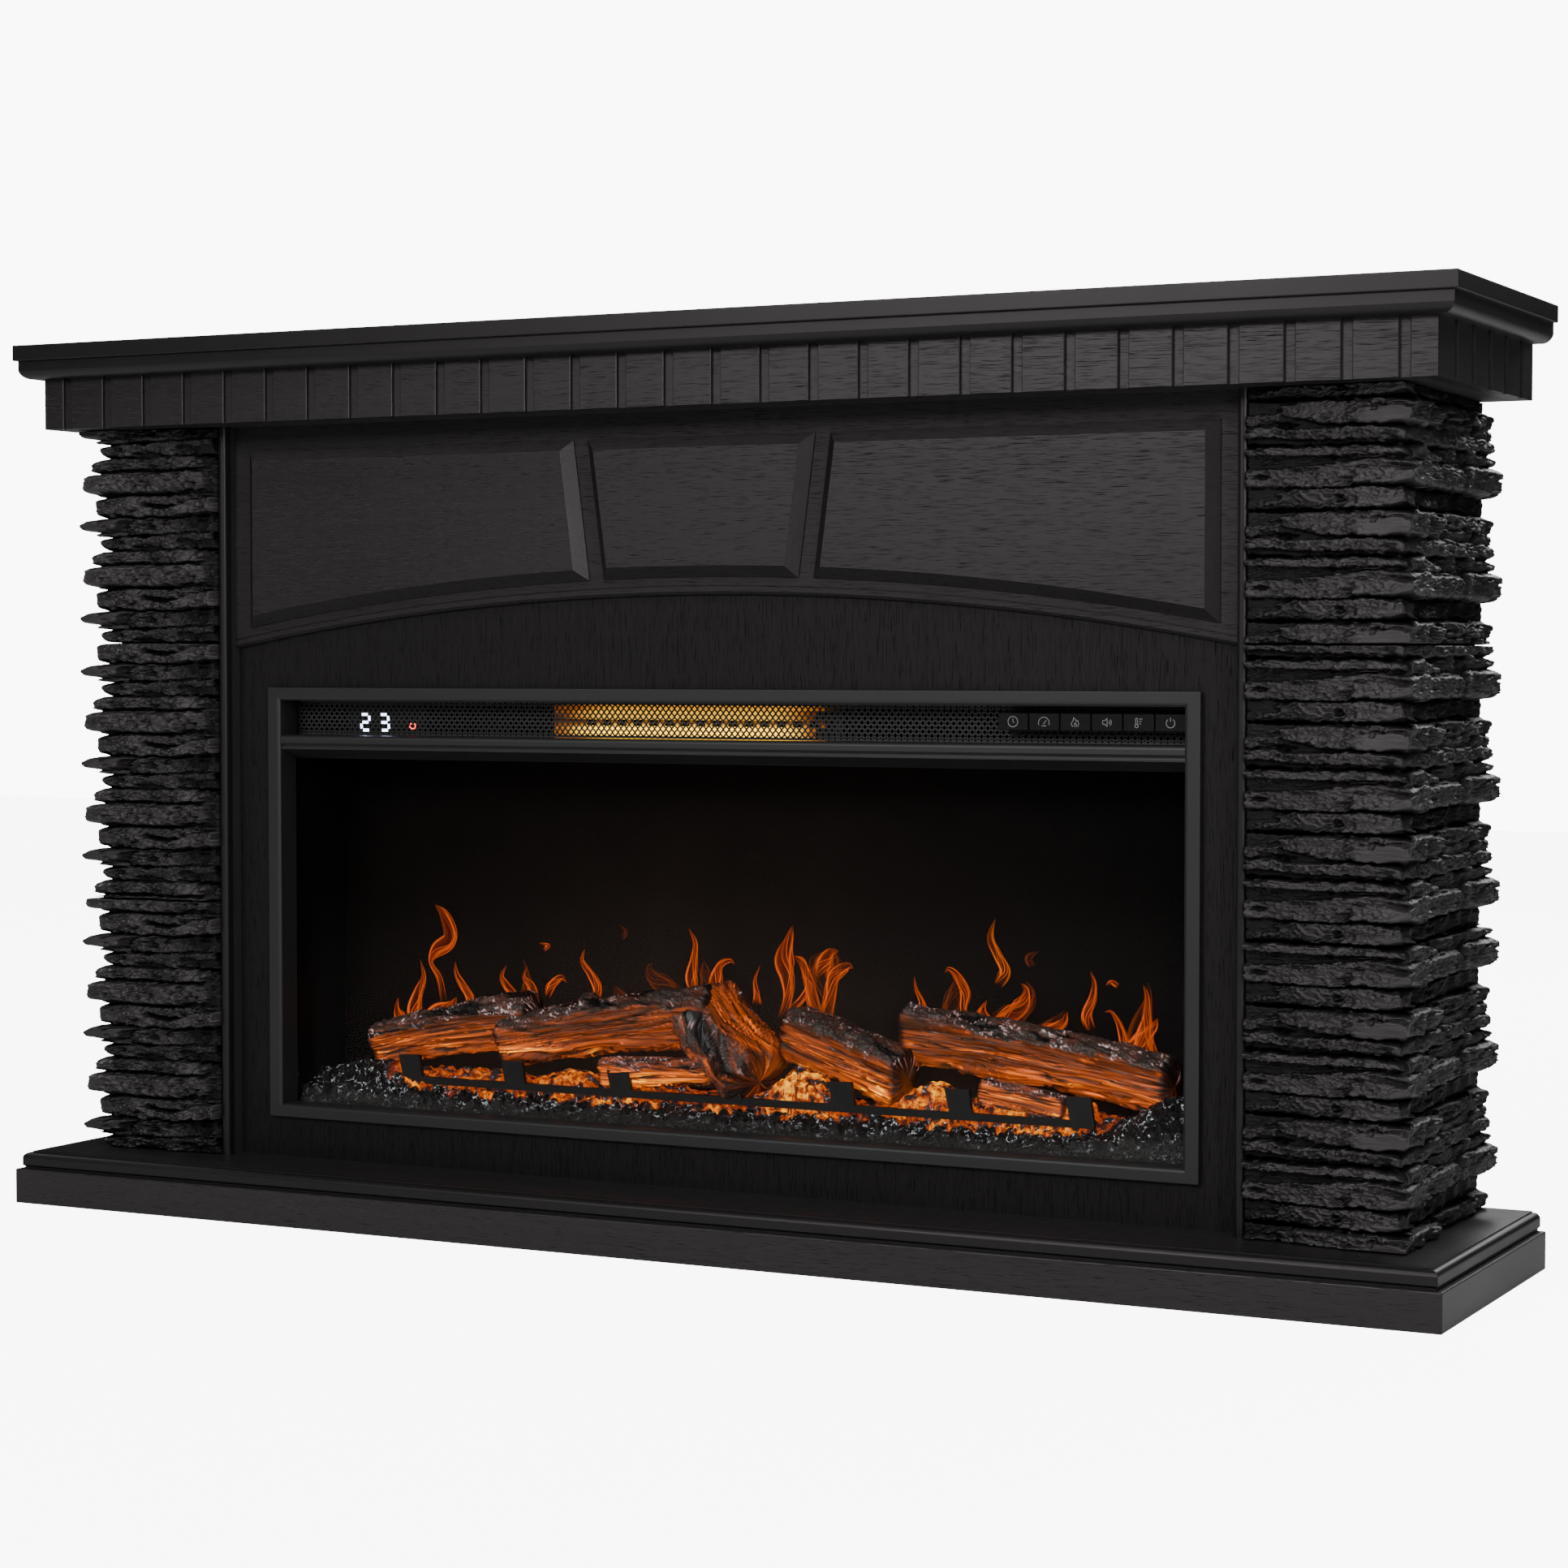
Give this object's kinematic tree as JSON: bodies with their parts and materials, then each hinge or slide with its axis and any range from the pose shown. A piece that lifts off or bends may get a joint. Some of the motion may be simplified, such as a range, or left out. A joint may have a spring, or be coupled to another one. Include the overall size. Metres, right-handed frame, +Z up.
{
  "type": "electric fireplace",
  "caption": "Mantel-style electric fireplace: black panelled surround with stone-clad columns, arched header and a glazed insert with logs, heater outlet and keys.",
  "frame": {"origin": "centre of the underside of the plinth, on the floor", "axes": "+X to the right seen from the front, +Y from the front to the wall, +Z up"},
  "size_m": [1.714, 0.386, 1],
  "materials": {
    "black_veneer": "satin black-stained open-pore ash veneer",
    "carcass_board": "black melamine-faced board",
    "stone_panel": "matt charcoal split-face stone",
    "bracket_steel": "zinc-plated steel",
    "screw_steel": "zinc-plated steel",
    "frame_paint": "fine-textured charcoal powder coat",
    "mesh_paint": "matt black paint",
    "window_glass": "clear toughened glass",
    "housing_paint": "matt black powder coat",
    "gland_plastic": "moulded black nylon",
    "key_plastic": "gloss black with white icons",
    "display_plastic": "smoked window",
    "circuit_board": "green solder mask",
    "ceramic_block": "unglazed steatite",
    "bright_sheet": "bright aluminium",
    "motor_steel": "plain steel",
    "bush_brass": "sintered bronze look",
    "ember_resin": "black translucent coal moulding",
    "log_resin": "hand-painted moulded resin",
    "screen_plastic": "dark diffusing screen",
    "quartz": "glowing quartz tube"
  },
  "bodies": {
    "fireplace": {"mantel_top": "black_veneer", "crown_moulding": "black_veneer", "frieze_front": "black_veneer", "frieze_sides": "black_veneer", "plinth_slab": "black_veneer", "plinth_deck": "black_veneer", "plinth_moulding": "black_veneer", "column_trims": "black_veneer", "fascia_board": "black_veneer", "arch_header": "black_veneer", "raised_panel_left": "black_veneer", "raised_panel_right": "black_veneer", "keystone_panel": "black_veneer", "frieze_soffit": "carcass_board", "rear_rails": "carcass_board", "column_carcass_left": "carcass_board", "column_carcass_right": "carcass_board", "stone_cladding_left": "stone_panel", "stone_cladding_right": "stone_panel", "wall_brackets": "bracket_steel", "pan_head_screws": "screw_steel", "insert_trim_frame": "frame_paint", "divider_bar": "frame_paint", "vent_mesh": "mesh_paint", "glass_pane": "window_glass", "housing_tray": "housing_paint", "housing_top": "housing_paint", "rear_cover": "housing_paint", "heater_shelf": "housing_paint", "blower_housing": "housing_paint", "key_guide_plate": "housing_paint", "grate": "housing_paint", "cable_gland": "gland_plastic", "speaker": "gland_plastic", "display_module": "display_plastic", "key_circuit_board": "circuit_board", "control_board": "circuit_board", "led_strips": "circuit_board", "heating_tubes": "quartz", "tube_holders": "ceramic_block", "heater_reflector": "bright_sheet", "blower_motor": "motor_steel", "rotor_motor": "motor_steel", "shaft_bushes": "bush_brass", "ember_bed": "ember_resin", "log_left": "log_resin", "log_long": "log_resin", "log_crossing": "log_resin", "log_middle": "log_resin", "log_right": "log_resin", "small_logs": "log_resin", "flame_screen": "screen_plastic"},
    "key_timer": {"key_timer": "key_plastic"},
    "key_speed": {"key_speed": "key_plastic"},
    "key_flame": {"key_flame": "key_plastic"},
    "key_sound": {"key_sound": "key_plastic"},
    "key_heat": {"key_heat": "key_plastic"},
    "key_power": {"key_power": "key_plastic"},
    "blower_wheel": {"blower_wheel": "bright_sheet"},
    "flame_rotor": {"flame_rotor": "bright_sheet"}
  },
  "joints": [
    {"name": "key_timer_press", "type": "slide", "parent": "fireplace", "child": "key_timer", "axis": [0, 1, 0], "range_m": [0, 0.0012], "stiffness_N_per_m": 600, "springref_m": -0.0004},
    {"name": "key_speed_press", "type": "slide", "parent": "fireplace", "child": "key_speed", "axis": [0, 1, 0], "range_m": [0, 0.0012], "stiffness_N_per_m": 600, "springref_m": -0.0004},
    {"name": "key_flame_press", "type": "slide", "parent": "fireplace", "child": "key_flame", "axis": [0, 1, 0], "range_m": [0, 0.0012], "stiffness_N_per_m": 600, "springref_m": -0.0004},
    {"name": "key_sound_press", "type": "slide", "parent": "fireplace", "child": "key_sound", "axis": [0, 1, 0], "range_m": [0, 0.0012], "stiffness_N_per_m": 600, "springref_m": -0.0004},
    {"name": "key_heat_press", "type": "slide", "parent": "fireplace", "child": "key_heat", "axis": [0, 1, 0], "range_m": [0, 0.0012], "stiffness_N_per_m": 600, "springref_m": -0.0004},
    {"name": "key_power_press", "type": "slide", "parent": "fireplace", "child": "key_power", "axis": [0, 1, 0], "range_m": [0, 0.0012], "stiffness_N_per_m": 600, "springref_m": -0.0004},
    {"name": "blower_wheel_spin", "type": "hinge", "parent": "fireplace", "child": "blower_wheel", "pos_m": [0, 0.046, 0.561], "axis": [1, 0, 0], "continuous": true},
    {"name": "flame_rotor_spin", "type": "hinge", "parent": "fireplace", "child": "flame_rotor", "pos_m": [0, 0.086, 0.16], "axis": [1, 0, 0], "continuous": true}
  ]
}
